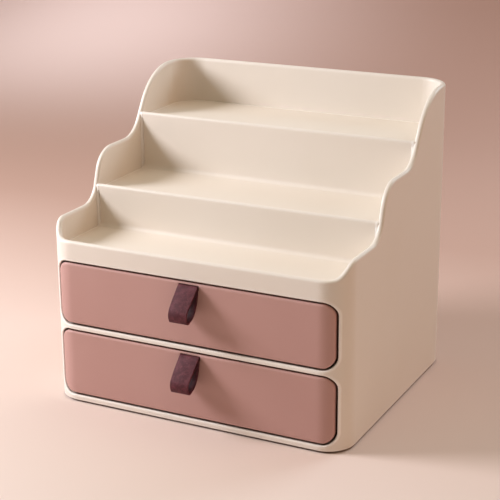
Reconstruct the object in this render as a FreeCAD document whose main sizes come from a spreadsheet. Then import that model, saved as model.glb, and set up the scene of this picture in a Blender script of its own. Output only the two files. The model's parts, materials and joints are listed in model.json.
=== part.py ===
import FreeCAD, Part
import Sketcher
import math
import os

# A tabletop organiser: a rounded housing with a stepped three-tier top, two
# drawers under it, and a leather loop on each drawer front.
# Frame: millimetres, +Z up, Z = 0 on the table under the feet, X = 0 on the
# plane of symmetry, Y = 0 half way between the fronts of the loops and the back
# of the housing, front towards -Y.

PARTS_FOLDER = "parts"

# Driving dimensions. Heights are measured from the table, and sizes that end in
# "_from_front" or "_from_back" from those faces of the housing.
DIMENSIONS = [
    # housing
    ("width", 280.0),
    ("depth", 245.0),
    ("top_height", 265.5),
    ("foot_gap", 1.5),
    ("wall", 5.0),
    ("front_corner", 24.0),
    ("rear_corner", 28.5),
    ("rim_round", 2.2),
    ("skirt_round", 1.0),
    # side outline: a flat shoulder behind each step, joined by soft ogees
    ("front_rim", 149.0),
    ("low_shoulder", 163.0),
    ("mid_shoulder", 208.0),
    ("front_ogee_foot", 6.0),
    ("front_ogee_head", 19.0),
    ("low_ogee_foot", 72.7),
    ("low_ogee_head", 87.6),
    ("mid_ogee_foot", 146.0),
    ("mid_ogee_head", 182.0),
    ("front_ogee_hollow", 6.0),
    ("front_ogee_crown", 14.0),
    ("low_ogee_hollow", 20.0),
    ("low_ogee_crown", 26.0),
    ("mid_ogee_hollow", 28.0),
    ("mid_ogee_crown", 60.0),
    # stepped tray deck
    ("lower_floor", 139.5),
    ("middle_floor", 174.5),
    ("upper_floor", 224.0),
    ("lip_height", 3.5),
    ("middle_riser_from_front", 77.0),
    ("upper_riser_from_front", 157.0),
    ("floor_thickness", 3.0),
    ("riser_thickness", 4.5),
    ("lip_round", 1.9),
    ("lip_cove", 1.2),
    ("floor_cove", 4.0),
    # drawer openings in the front
    ("opening_jamb", 8.5),
    ("upper_opening_top", 131.0),
    ("upper_opening_bottom", 72.5),
    ("lower_opening_top", 68.5),
    ("lower_opening_bottom", 6.5),
    ("opening_corner", 12.0),
    ("opening_round", 0.8),
    # plates inside the housing
    ("plate_thickness", 3.0),
    ("ledge_width", 4.0),
    ("ledge_height", 3.0),
    ("ledge_front_from_front", 75.0),
    ("ledge_rear_from_front", 150.0),
    ("back_ledge_half_width", 60.0),
    ("boss_diameter", 9.0),
    ("boss_height", 22.0),
    ("boss_spacing", 80.0),
    ("boss_from_back_wall", 4.0),
    # runners and drawer stops
    ("runner_width", 7.0),
    ("runner_height", 8.0),
    ("runner_front_from_front", 26.5),
    ("runner_rear_from_back", 42.0),
    ("stop_length", 8.0),
    ("stop_height", 8.0),
    ("drawer_travel", 150.0),
    # drawers
    ("front_gap", 1.8),
    ("front_recess", 0.3),
    ("front_thickness", 5.0),
    ("front_round", 1.3),
    ("tray_wall", 2.0),
    ("tray_bottom", 2.0),
    ("tray_side_gap", 0.5),
    ("tray_lift", 0.5),
    ("tray_drop", 16.0),
    ("tray_rear_from_back", 18.5),
    ("tray_front_corner", 18.0),
    ("tray_rear_corner", 12.0),
    ("tray_corner_ease", 2.0),
    ("lug_length", 8.0),
    ("lug_height", 5.0),
    ("lug_reach", 4.5),
    ("lug_clearance", 1.0),
    ("stop_clearance", 0.3),
    # leather pulls
    ("strap_width", 18.0),
    ("strap_thickness", 1.6),
    ("loop_reach", 19.5),
    ("loop_drop", 28.0),
    ("loop_heel", 9.5),
    ("loop_stand_off", 0.5),
    ("loop_tip_round", 1.0),
    ("loop_shoulder_round", 9.0),
    ("loop_toe_round", 6.0),
    ("loop_heel_round", 7.0),
    ("loop_crotch_round", 0.4),
    ("slit_drop", 3.5),
    ("slit_clearance", 0.4),
    ("root_clearance", 0.3),
    ("tail_length", 10.0),
    ("clamp_half_width", 17.0),
    ("clamp_thickness", 1.5),
    ("clamp_clearance", 0.2),
    # screws
    ("shank_diameter", 2.8),
    ("head_diameter", 5.6),
    ("head_height", 1.7),
    ("plate_screw_length", 9.0),
    ("front_screw_length", 5.2),
    ("front_screw_spacing", 75.0),
    ("front_screw_edge", 9.0),
    ("front_screw_rise", 6.0),
    ("clamp_screw_length", 7.2),
    ("front_runner_screw_from_front", 62.0),
    ("rear_runner_screw_from_front", 162.0),
    # rubber feet
    ("foot_diameter", 16.0),
    ("foot_round", 0.8),
    ("foot_side_inset", 30.0),
    ("foot_front_inset", 30.0),
    ("foot_rear_inset", 40.0),
]

# A tool that cuts right through reaches this far past the faces it cuts, and a
# rib that grows out of a wall starts this far inside it.
OVERCUT = 2.0
ROOTED = 1.0
# How far a corner moves along one side when a 45 degree bend is drawn one unit
# further in, and the same for the acute tip between a 45 degree and an upright line.
HALF_BEND = math.tan(math.radians(22.5))
TIP_BEND = 1.0 + math.sqrt(2.0)

doc = FreeCAD.newDocument("organiser")


class Size:
    """A length that knows its value and the expression that gives it."""

    def __init__(self, value, text):
        self.value = value
        self.text = text

    def joined(self, other, sign, value):
        text = other.text if isinstance(other, Size) else repr(float(other))
        return Size(value, "(%s %s %s)" % (self.text, sign, text))

    def __add__(self, other):
        return self.joined(other, "+", self.value + plain(other))

    def __sub__(self, other):
        return self.joined(other, "-", self.value - plain(other))

    def __mul__(self, other):
        return self.joined(other, "*", self.value * plain(other))

    def __truediv__(self, other):
        return self.joined(other, "/", self.value / plain(other))

    def __neg__(self):
        return Size(-self.value, "(0 - %s)" % self.text)


def plain(item):
    return item.value if isinstance(item, Size) else float(item)


def fill_sheet():
    """Write the dimensions into the sheet and return them by name."""
    sheet = doc.addObject("Spreadsheet::Sheet", "sizes")
    lookup = {}
    for row, (name, value) in enumerate(DIMENSIONS, start=1):
        sheet.set("A%d" % row, name)
        sheet.set("B%d" % row, repr(value))
        sheet.setAlias("B%d" % row, name)
        lookup[name] = Size(value, "sizes." + name)
    doc.recompute()
    return lookup


S = fill_sheet()
ZERO = Size(0.0, "0")
sub_parts = []

# ---------------------------------------------------------------------------
# Sketch and feature helpers
# ---------------------------------------------------------------------------


def new_body(label):
    body = doc.addObject("PartDesign::Body", label)
    body.Label = label
    sub_parts.append(body)
    return body


def new_sketch(body, name, role, offset=ZERO):
    """A sketch on one of the body's own origin planes, moved along its normal.
    XY_Plane looks along -Z, YZ_Plane has Y across, Z up and its normal to +X,
    and XZ_Plane has X across, Z up and its normal to -Y."""
    sketch = body.newObject("Sketcher::SketchObject", name)
    plane = [item for item in body.Origin.OriginFeatures if item.Role == role][0]
    sketch.AttachmentSupport = [(plane, "")]
    sketch.MapMode = "FlatFace"
    sketch.setExpression("AttachmentOffset.Base.z", offset.text)
    return sketch


def add_rule(sketch, name, size, *rule):
    """A dimensional constraint that follows a size."""
    index = sketch.addConstraint(Sketcher.Constraint(*rule, size.value))
    sketch.renameConstraint(index, name)
    sketch.setExpression("Constraints." + name, size.text)


def place_point(sketch, tag, geometry, position, x, y):
    """Hold one point of the sketch at (x, y) from the sketch origin."""
    add_rule(sketch, tag + "_x", x, "DistanceX", -1, 1, geometry, position)
    add_rule(sketch, tag + "_y", y, "DistanceY", -1, 1, geometry, position)


def flat_point(x, y):
    return FreeCAD.Vector(x, y, 0.0)


def draw_circle(sketch, tag, x, y, diameter):
    centre = flat_point(x.value, y.value)
    circle = Part.Circle(centre, FreeCAD.Vector(0, 0, 1), diameter.value / 2)
    index = sketch.addGeometry(circle, False)
    if x is ZERO and y is ZERO:
        sketch.addConstraint(Sketcher.Constraint("Coincident", -1, 1, index, 3))
    else:
        place_point(sketch, tag, index, 3, x, y)
    add_rule(sketch, tag + "_diameter", diameter, "Diameter", index)


def corner_arc(before, corner, after, radius):
    """The arc that rounds a corner, and whether the path turns left there."""
    inward = (before - corner).normalize()
    outward = (after - corner).normalize()
    half_angle = inward.getAngle(outward) / 2
    reach = radius / math.tan(half_angle)
    start = corner + inward * reach
    end = corner + outward * reach
    centre = corner + (inward + outward).normalize() * math.hypot(reach, radius)
    left = inward.cross(outward).z < 0
    first, last = (start, end) if left else (end, start)
    first_angle = math.atan2(first.y - centre.y, first.x - centre.x)
    last_angle = math.atan2(last.y - centre.y, last.x - centre.x)
    if last_angle < first_angle:
        last_angle += 2 * math.pi
    circle = Part.Circle(centre, FreeCAD.Vector(0, 0, 1), radius)
    return start, end, Part.ArcOfCircle(circle, first_angle, last_angle), left


def draw_outline(sketch, tag, corners):
    """A closed outline through corners (x, y, radius). A radius of None leaves the
    corner sharp, and any other rounds it with an arc tangent to both sides."""
    count = len(corners)
    points = [flat_point(x.value, y.value) for x, y, radius in corners]
    starts = list(points)
    ends = list(points)
    arcs = {}
    for i, (x, y, radius) in enumerate(corners):
        if radius is not None:
            before = points[i - 1]
            after = points[(i + 1) % count]
            starts[i], ends[i], arc, left = corner_arc(before, points[i], after, radius.value)
            arcs[i] = (sketch.addGeometry(arc, False), left)
    lines = []
    for i in range(count):
        side = Part.LineSegment(ends[i], starts[(i + 1) % count])
        lines.append(sketch.addGeometry(side, False))
    for i, (x, y, radius) in enumerate(corners):
        arriving = lines[i - 1]
        leaving = lines[i]
        name = "%s%d" % (tag, i)
        if radius is None:
            sketch.addConstraint(Sketcher.Constraint("Coincident", arriving, 2, leaving, 1))
            place_point(sketch, name, leaving, 1, x, y)
            continue
        arc, left = arcs[i]
        entry, leave = (1, 2) if left else (2, 1)
        mark = sketch.addGeometry(Part.Point(points[i]), True)
        place_point(sketch, name, mark, 1, x, y)
        sketch.addConstraint(Sketcher.Constraint("Tangent", arriving, 2, arc, entry))
        sketch.addConstraint(Sketcher.Constraint("Tangent", arc, leave, leaving, 1))
        sketch.addConstraint(Sketcher.Constraint("PointOnObject", mark, 1, arriving))
        sketch.addConstraint(Sketcher.Constraint("PointOnObject", mark, 1, leaving))
        add_rule(sketch, name + "_radius", radius, "Radius", arc)


def draw_box(sketch, tag, x0, x1, y0, y1, radii=(None, None, None, None)):
    """A rectangle, its radii in the order front-left, front-right, rear-right,
    rear-left, front being the low side of the sketch."""
    places = [(x0, y0), (x1, y0), (x1, y1), (x0, y1)]
    draw_outline(sketch, tag, [(x, y, r) for (x, y), r in zip(places, radii)])


def add_pad(body, sketch, name, length, symmetric=False, backwards=False):
    feature = body.newObject("PartDesign::Pad", name)
    feature.Profile = sketch
    feature.setExpression("Length", length.text)
    feature.SideType = "Symmetric" if symmetric else "One side"
    feature.Reversed = backwards
    doc.recompute()
    return feature


def add_pocket(body, sketch, name, length=None, symmetric=False, backwards=False):
    """Cut material away; without a length, right through the body."""
    before = body.Shape.Volume
    feature = body.newObject("PartDesign::Pocket", name)
    feature.Profile = sketch
    if length is None:
        feature.Type = "ThroughAll"
    else:
        feature.setExpression("Length", length.text)
    feature.SideType = "Symmetric" if symmetric else "One side"
    feature.Reversed = backwards
    doc.recompute()
    if body.Shape.Volume >= before:
        raise RuntimeError(body.Label + ": " + name + " cuts nothing")
    return feature


def add_fillet(body, name, radius, edges):
    """Round the edges of the body that the given test picks."""
    shape = body.Tip.Shape
    picked = ["Edge%d" % (i + 1) for i, edge in enumerate(shape.Edges) if edges(edge)]
    if not picked:
        raise RuntimeError(body.Label + ": " + name + " finds no edges")
    base = body.Tip
    feature = body.newObject("PartDesign::Fillet", name)
    feature.Base = (base, picked)
    feature.setExpression("Radius", radius.text)
    doc.recompute()
    return feature


def close_to(a, b):
    return abs(a - b) < 0.01


def lies_at_height(edge, height):
    """Whether the whole edge lies in one level plane."""
    box = edge.BoundBox
    return close_to(box.ZMin, height) and close_to(box.ZMax, height)


# ---------------------------------------------------------------------------
# Shared planes and outlines
# ---------------------------------------------------------------------------

SIDE = S["width"] / 2
LOOP_PROUD = S["loop_reach"] - S["front_recess"]
FRONT = (LOOP_PROUD - S["depth"]) / 2
BACK = FRONT + S["depth"]
INNER_SIDE = SIDE - S["wall"]
OPENING_HALF_WIDTH = SIDE - S["opening_jamb"]
INNER_FRONT = FRONT + S["wall"]
INNER_BACK = BACK - S["wall"]

DRAWER_FACE = FRONT + S["front_recess"]
DRAWER_BACKING = DRAWER_FACE + S["front_thickness"]
FRONT_HALF_WIDTH = OPENING_HALF_WIDTH - S["front_gap"]
TRAY_HALF_WIDTH = INNER_SIDE - S["runner_width"] - S["tray_side_gap"]
TRAY_REAR = BACK - S["tray_rear_from_back"]
TRAY_BOTTOM_ROUND = S["opening_corner"] - S["tray_corner_ease"]

RUNNER_MIDDLE = INNER_SIDE - S["runner_width"] / 2
RUNNER_FRONT = FRONT + S["runner_front_from_front"]
RUNNER_REAR = BACK - S["runner_rear_from_back"]
BOSS_CENTRE = INNER_BACK - S["boss_from_back_wall"]
BASE_UNDERSIDE = S["lower_opening_bottom"] - S["plate_thickness"]
SHELF_UNDERSIDE = S["upper_opening_bottom"] - S["plate_thickness"]
RUNNER_SCREW_ROWS = [
    FRONT + S["front_runner_screw_from_front"],
    FRONT + S["rear_runner_screw_from_front"],
]
RUNNER_SCREW_PLACES = [(x, y) for y in RUNNER_SCREW_ROWS for x in (-RUNNER_MIDDLE, RUNNER_MIDDLE)]
BOSS_PLACES = [(x, BOSS_CENTRE) for x in (-S["boss_spacing"], ZERO + 0.0, S["boss_spacing"])]


def draw_housing_outline(sketch, tag, inset):
    """The housing seen from above, its walls and corners drawn this far in."""
    front = S["front_corner"] - inset
    rear = S["rear_corner"] - inset
    draw_box(sketch, tag, inset - SIDE, SIDE - inset, FRONT + inset, BACK - inset,
             (front, front, rear, rear))


# ---------------------------------------------------------------------------
# Housing
# ---------------------------------------------------------------------------


def side_outline():
    """Corners of the cut that leaves the ogee rim, from the front to the back."""
    roof = S["top_height"] + 2 * OVERCUT
    before_front = FRONT - OVERCUT
    behind_back = BACK + OVERCUT
    steps = [
        ("front", S["front_rim"], S["low_shoulder"]),
        ("low", S["low_shoulder"], S["mid_shoulder"]),
        ("mid", S["mid_shoulder"], S["top_height"]),
    ]
    corners = [(before_front, S["front_rim"], None)]
    for name, below, above in steps:
        foot = FRONT + S[name + "_ogee_foot"]
        head = FRONT + S[name + "_ogee_head"]
        corners.append((foot, below, S[name + "_ogee_hollow"]))
        corners.append((head, above, S[name + "_ogee_crown"]))
    corners.append((behind_back, S["top_height"], None))
    corners.append((behind_back, roof, None))
    corners.append((before_front, roof, None))
    return corners


def is_rim_face(face):
    """Whether a face belongs to the rim: swept along X and open to the sky."""
    surface = face.Surface
    kind = surface.TypeId
    if kind == "Part::GeomPlane":
        level = abs(surface.Axis.x) < 0.01 and abs(surface.Axis.z) > 0.3
    elif kind == "Part::GeomCylinder":
        level = abs(surface.Axis.x) > 0.99
    else:
        return False
    return level and face.BoundBox.ZMin > S["front_rim"].value - 0.01


def rim_edges(shape):
    """Edges between the rim's faces and the walls' faces."""
    counts = {}
    for face in shape.Faces:
        if is_rim_face(face):
            for edge in face.Edges:
                counts[edge.hashCode()] = counts.get(edge.hashCode(), 0) + 1
    return {code for code, count in counts.items() if count == 1}


def round_the_rim(shell):
    codes = rim_edges(shell.Tip.Shape)
    add_fillet(shell, "RimRound", S["rim_round"], lambda edge: edge.hashCode() in codes)


def cut_drawer_openings(shell):
    """Two round-cornered openings through the front, up to the front corners."""
    sketch = new_sketch(shell, "Openings", "XZ_Plane", -FRONT + OVERCUT)
    half = OPENING_HALF_WIDTH
    corner = S["opening_corner"]
    for tag, low, high in (
        ("upper", S["upper_opening_bottom"], S["upper_opening_top"]),
        ("lower", S["lower_opening_bottom"], S["lower_opening_top"]),
    ):
        draw_box(sketch, tag, -half, half, low, high, (corner,) * 4)
    add_pocket(shell, sketch, "CutOpenings", S["front_corner"] + OVERCUT)


def opening_edges(edge):
    """Outer edges of the two drawer openings."""
    box = edge.BoundBox
    half = OPENING_HALF_WIDTH.value
    inside = box.XMax < half + 0.01 and box.XMin > -half - 0.01
    low = S["lower_opening_bottom"].value - 0.01
    high = S["upper_opening_top"].value + 0.01
    if not (inside and box.ZMin > low and box.ZMax < high):
        return False
    middle = edge.valueAt((edge.FirstParameter + edge.LastParameter) / 2)
    return all(on_outer_wall(vertex.Point) for vertex in edge.Vertexes) and on_outer_wall(middle)


def on_outer_wall(point):
    """Whether a point lies on the outer face of the front or its corners."""
    radius = S["front_corner"].value
    centre_x = SIDE.value - radius
    centre_y = FRONT.value + radius
    if abs(point.x) <= centre_x:
        return close_to(point.y, FRONT.value)
    return close_to(math.hypot(abs(point.x) - centre_x, point.y - centre_y), radius)


def add_shelf_ledges(shell):
    """Ribs under the drawer shelf, one on each side wall and one on the back."""
    sketch = new_sketch(shell, "Ledges", "XY_Plane", SHELF_UNDERSIDE)
    inner = INNER_SIDE - S["ledge_width"]
    outer = INNER_SIDE + ROOTED
    front = FRONT + S["ledge_front_from_front"]
    rear = FRONT + S["ledge_rear_from_front"]
    draw_box(sketch, "right", inner, outer, front, rear)
    draw_box(sketch, "left", -outer, -inner, front, rear)
    half = S["back_ledge_half_width"]
    draw_box(sketch, "back", -half, half, INNER_BACK - S["ledge_width"], INNER_BACK + ROOTED)
    add_pad(shell, sketch, "AddLedges", S["ledge_height"], backwards=True)


def add_base_bosses(shell):
    """Screw bosses for the base plate, grown out of the back wall."""
    sketch = new_sketch(shell, "Bosses", "XY_Plane", S["lower_opening_bottom"])
    for i, (x, y) in enumerate(BOSS_PLACES):
        draw_circle(sketch, "boss%d" % i, x, y, S["boss_diameter"])
    add_pad(shell, sketch, "AddBosses", S["boss_height"])
    holes = new_sketch(shell, "BossHoles", "XY_Plane", S["lower_opening_bottom"])
    for i, (x, y) in enumerate(BOSS_PLACES):
        draw_circle(holes, "hole%d" % i, x, y, S["shank_diameter"])
    depth = S["plate_screw_length"] - S["plate_thickness"]
    add_pocket(shell, holes, "DrillBosses", depth, backwards=True)


def make_housing_shell():
    shell = new_body("housing_shell")
    wall_sketch = new_sketch(shell, "Walls", "XY_Plane", S["foot_gap"])
    draw_housing_outline(wall_sketch, "outer", ZERO)
    draw_housing_outline(wall_sketch, "inner", S["wall"])
    raised = S["top_height"] - S["foot_gap"] + OVERCUT
    add_pad(shell, wall_sketch, "RaiseWalls", raised)
    profile = new_sketch(shell, "SideOutline", "YZ_Plane")
    draw_outline(profile, "rim", side_outline())
    add_pocket(shell, profile, "CutSteps", S["width"] + 2 * OVERCUT, symmetric=True)
    round_the_rim(shell)
    cut_drawer_openings(shell)
    add_fillet(shell, "OpeningRound", S["opening_round"], opening_edges)
    add_shelf_ledges(shell)
    add_base_bosses(shell)
    foot = S["foot_gap"].value
    add_fillet(shell, "SkirtRound", S["skirt_round"],
               lambda edge: lies_at_height(edge, foot) and is_outer_skirt(edge))


def is_outer_skirt(edge):
    middle = edge.valueAt((edge.FirstParameter + edge.LastParameter) / 2)
    return not is_inside_inner_outline(middle)


def is_inside_inner_outline(point):
    """Whether a point lies on or inside the inner faces of the walls."""
    middle = (FRONT.value + BACK.value) / 2
    x = abs(point.x)
    y = abs(point.y - middle)
    if x > INNER_SIDE.value + 0.01 or y > INNER_BACK.value - middle + 0.01:
        return False
    corner = S["front_corner"] if point.y < middle else S["rear_corner"]
    radius = corner.value - S["wall"].value
    past_x = x - (INNER_SIDE.value - radius)
    past_y = y - (INNER_BACK.value - middle - radius)
    if past_x <= 0 or past_y <= 0:
        return True
    return math.hypot(past_x, past_y) < radius + 0.01


def make_stepped_deck():
    """Three floors joined by two risers, each riser's top a lip for the floor
    behind it, trimmed to the inside of the housing."""
    deck = new_body("stepped_tray_deck")
    middle_riser = FRONT + S["middle_riser_from_front"]
    upper_riser = FRONT + S["upper_riser_from_front"]
    under = S["floor_thickness"]
    corners = [(INNER_FRONT, S["lower_floor"], None)]
    for riser, floor, next_floor in (
        (middle_riser, S["lower_floor"], S["middle_floor"]),
        (upper_riser, S["middle_floor"], S["upper_floor"]),
    ):
        lip_top = next_floor + S["lip_height"]
        rear = riser + S["riser_thickness"]
        corners.append((riser, floor, S["floor_cove"]))
        corners.append((riser, lip_top, S["lip_round"]))
        corners.append((rear, lip_top, S["lip_round"]))
        corners.append((rear, next_floor, S["lip_cove"]))
    corners.append((INNER_BACK, S["upper_floor"], None))
    corners.append((INNER_BACK, S["upper_floor"] - under, None))
    for riser, floor, next_floor in (
        (upper_riser, S["middle_floor"], S["upper_floor"]),
        (middle_riser, S["lower_floor"], S["middle_floor"]),
    ):
        rear = riser + S["riser_thickness"]
        corners.append((rear, next_floor - under, None))
        corners.append((rear, floor - under, None))
    corners.append((INNER_FRONT, S["lower_floor"] - under, None))
    section = new_sketch(deck, "Section", "YZ_Plane")
    draw_outline(section, "step", corners)
    add_pad(deck, section, "SweepSteps", INNER_SIDE * 2, symmetric=True)
    trim_to_housing(deck, S["top_height"])


def trim_to_housing(body, height):
    """Cut away all that lies outside the inner faces of the housing walls."""
    sketch = new_sketch(body, "Trim", "XY_Plane", height)
    far_side = SIDE + OVERCUT
    far_front = FRONT - OVERCUT
    far_back = BACK + OVERCUT
    draw_box(sketch, "around", -far_side, far_side, far_front, far_back)
    draw_housing_outline(sketch, "kept", S["wall"])
    add_pocket(body, sketch, "CutTrim")


def make_plate(label, underside, screw_places):
    """A flat plate that fills the housing from wall to wall, with screw holes."""
    plate = new_body(label)
    outline = new_sketch(plate, "Outline", "XY_Plane", underside)
    draw_housing_outline(outline, "edge", S["wall"])
    add_pad(plate, outline, "RaisePlate", S["plate_thickness"])
    holes = new_sketch(plate, "Holes", "XY_Plane", underside)
    for i, (x, y) in enumerate(screw_places):
        draw_circle(holes, "hole%d" % i, x, y, S["shank_diameter"])
    add_pocket(plate, holes, "DrillHoles", S["plate_thickness"], backwards=True)


def make_runner(label, side, floor):
    """A side guide that the drawer runs beside, with a stop at its front end.
    side is 1 for the right wall and -1 for the left."""
    runner = new_body(label)
    near = INNER_SIDE - S["runner_width"] if side > 0 else -INNER_SIDE
    sketch = new_sketch(runner, "Profile", "YZ_Plane", near)
    top = floor + S["runner_height"]
    stop_top = top + S["stop_height"]
    stop_rear = RUNNER_FRONT + S["stop_length"]
    draw_outline(sketch, "side", [
        (RUNNER_FRONT, floor, None),
        (RUNNER_REAR, floor, None),
        (RUNNER_REAR, top, None),
        (stop_rear, top, None),
        (stop_rear, stop_top, None),
        (RUNNER_FRONT, stop_top, None),
    ])
    add_pad(runner, sketch, "Extrude", S["runner_width"])
    holes = new_sketch(runner, "PilotHoles", "XY_Plane", floor)
    middle = RUNNER_MIDDLE if side > 0 else -RUNNER_MIDDLE
    for i, y in enumerate(RUNNER_SCREW_ROWS):
        draw_circle(holes, "pilot%d" % i, middle, y, S["shank_diameter"])
    depth = S["plate_screw_length"] - S["plate_thickness"]
    add_pocket(runner, holes, "DrillPilots", depth, backwards=True)


def make_foot(label, x, y):
    """A soft round pad stuck under the base plate."""
    foot = new_body(label)
    sketch = new_sketch(foot, "Disc", "XY_Plane")
    draw_circle(sketch, "disc", ZERO, ZERO, S["foot_diameter"])
    add_pad(foot, sketch, "RaiseDisc", BASE_UNDERSIDE)
    add_fillet(foot, "TreadRound", S["foot_round"], lambda edge: lies_at_height(edge, 0.0))
    foot.setExpression("Placement.Base.x", x.text)
    foot.setExpression("Placement.Base.y", y.text)


def make_screws(label, seats, drive, length):
    """Pan-head screws in one node. seats are the centres of the faces that the
    heads bear on, and drive is the direction that they are driven in."""
    head_radius = S["head_diameter"].value / 2
    shank_radius = S["shank_diameter"].value / 2
    head_height = S["head_height"].value
    screws = []
    for x, y, z in seats:
        seat = FreeCAD.Vector(x.value, y.value, z.value)
        head = Part.makeCylinder(head_radius, head_height, seat, -drive)
        shank = Part.makeCylinder(shank_radius, length.value, seat, drive)
        screws.append(head.fuse(shank).removeSplitter())
    feature = doc.addObject("Part::Feature", label)
    feature.Label = label
    feature.Shape = Part.makeCompound(screws)
    feature.Placement = FreeCAD.Placement()
    sub_parts.append(feature)


# ---------------------------------------------------------------------------
# Drawers
# ---------------------------------------------------------------------------


class Drawer:
    """Heights of one drawer, from those of its opening."""

    def __init__(self, name, opening_bottom, opening_top):
        self.name = name
        self.floor = opening_bottom
        self.front_bottom = opening_bottom + S["front_gap"]
        self.front_top = opening_top - S["front_gap"]
        self.tray_bottom = opening_bottom + S["tray_lift"]
        self.tray_top = self.front_top - S["tray_drop"]
        self.slit = self.front_top - S["slit_drop"]
        self.screw_rows = [
            self.tray_bottom + TRAY_BOTTOM_ROUND + S["front_screw_rise"],
            self.tray_top - S["front_screw_edge"],
        ]
        self.clamp_bottom = self.slit - S["tail_length"]
        self.clamp_top = self.slit + S["strap_thickness"]
        self.clamp_screw_height = (self.clamp_bottom + self.clamp_top) / 2


FRONT_SCREW_COLUMNS = [-S["front_screw_spacing"], S["front_screw_spacing"]]
CHANNEL_HALF_WIDTH = S["strap_width"] / 2 + S["clamp_clearance"]
CLAMP_SCREW_COLUMN = (CHANNEL_HALF_WIDTH + S["clamp_half_width"]) / 2
CLAMP_DEPTH = S["strap_thickness"] * 2 + S["clamp_thickness"]


def drill_along_y(body, name, face, places, depth, backwards):
    """Round holes along Y that start at a plane across the part."""
    sketch = new_sketch(body, name, "XZ_Plane", -face)
    for i, (x, z) in enumerate(places):
        draw_circle(sketch, "hole%d" % i, x, z, S["shank_diameter"])
    add_pocket(body, sketch, "Drill" + name, depth, backwards=backwards)


def draw_front_plan(sketch):
    """The drawer front from above: flat in the middle, and bent round the front
    corners of the housing at both ends."""
    outer = S["front_corner"] - S["front_recess"]
    centre_x = SIDE - S["front_corner"]
    centre_y = FRONT + S["front_corner"]
    inner = outer - S["front_thickness"]
    end = FRONT_HALF_WIDTH
    reach = (end - centre_x).value
    outer_y = centre_y.value - math.sqrt(outer.value ** 2 - reach ** 2)
    inner_y = centre_y.value - math.sqrt(inner.value ** 2 - reach ** 2)
    face = DRAWER_FACE.value
    backing = DRAWER_BACKING.value
    bend = centre_x.value

    def bow(side, radius, tip_y):
        circle = Part.Circle(flat_point(side * bend, centre_y.value),
                             FreeCAD.Vector(0, 0, 1), radius)
        tip = math.atan2(tip_y - centre_y.value, side * reach)
        straight = -math.pi / 2
        if side > 0:
            return Part.ArcOfCircle(circle, straight, tip)
        return Part.ArcOfCircle(circle, tip if tip < 0 else tip - 2 * math.pi, straight)

    front = sketch.addGeometry(Part.LineSegment(flat_point(-bend, face), flat_point(bend, face)))
    right_outer = sketch.addGeometry(bow(1, outer.value, outer_y))
    right_end = sketch.addGeometry(
        Part.LineSegment(flat_point(end.value, outer_y), flat_point(end.value, inner_y)))
    right_inner = sketch.addGeometry(bow(1, inner.value, inner_y))
    rear = sketch.addGeometry(Part.LineSegment(flat_point(bend, backing), flat_point(-bend, backing)))
    left_inner = sketch.addGeometry(bow(-1, inner.value, inner_y))
    left_end = sketch.addGeometry(
        Part.LineSegment(flat_point(-end.value, inner_y), flat_point(-end.value, outer_y)))
    left_outer = sketch.addGeometry(bow(-1, outer.value, outer_y))

    for first, first_end, second, second_end in (
        (front, 2, right_outer, 1),
        (right_inner, 1, rear, 1),
        (rear, 2, left_inner, 2),
        (left_outer, 2, front, 1),
    ):
        sketch.addConstraint(Sketcher.Constraint("Tangent", first, first_end, second, second_end))
    for first, first_end, second, second_end in (
        (right_outer, 2, right_end, 1),
        (right_end, 2, right_inner, 2),
        (left_inner, 1, left_end, 1),
        (left_end, 2, left_outer, 1),
        (right_outer, 3, right_inner, 3),
        (left_outer, 3, left_inner, 3),
    ):
        sketch.addConstraint(Sketcher.Constraint("Coincident", first, first_end, second, second_end))
    for line in (front, rear):
        sketch.addConstraint(Sketcher.Constraint("Horizontal", line))
    for line in (right_end, left_end):
        sketch.addConstraint(Sketcher.Constraint("Vertical", line))
    add_rule(sketch, "face_y", DRAWER_FACE, "DistanceY", -1, 1, front, 1)
    add_rule(sketch, "backing_y", DRAWER_BACKING, "DistanceY", -1, 1, rear, 1)
    add_rule(sketch, "right_radius", outer, "Radius", right_outer)
    add_rule(sketch, "left_radius", outer, "Radius", left_outer)
    add_rule(sketch, "right_bend_x", centre_x, "DistanceX", -1, 1, right_outer, 3)
    add_rule(sketch, "left_bend_x", -centre_x, "DistanceX", -1, 1, left_outer, 3)
    add_rule(sketch, "right_end_x", end, "DistanceX", -1, 1, right_end, 1)
    add_rule(sketch, "left_end_x", -end, "DistanceX", -1, 1, left_end, 1)


def front_face_edges(front):
    """Edges round the show face of a drawer front."""
    face_y = DRAWER_FACE.value
    radius = S["front_corner"].value - S["front_recess"].value
    shown = []
    for face in front.Tip.Shape.Faces:
        surface = face.Surface
        if surface.TypeId == "Part::GeomPlane":
            box = face.BoundBox
            if close_to(box.YMin, face_y) and close_to(box.YMax, face_y):
                shown.append(face)
        elif surface.TypeId == "Part::GeomCylinder":
            if abs(surface.Axis.z) > 0.99 and close_to(surface.Radius, radius):
                shown.append(face)
    counts = {}
    for face in shown:
        for edge in face.OuterWire.Edges:
            counts[edge.hashCode()] = counts.get(edge.hashCode(), 0) + 1
    return {code for code, count in counts.items() if count == 1}


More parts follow.
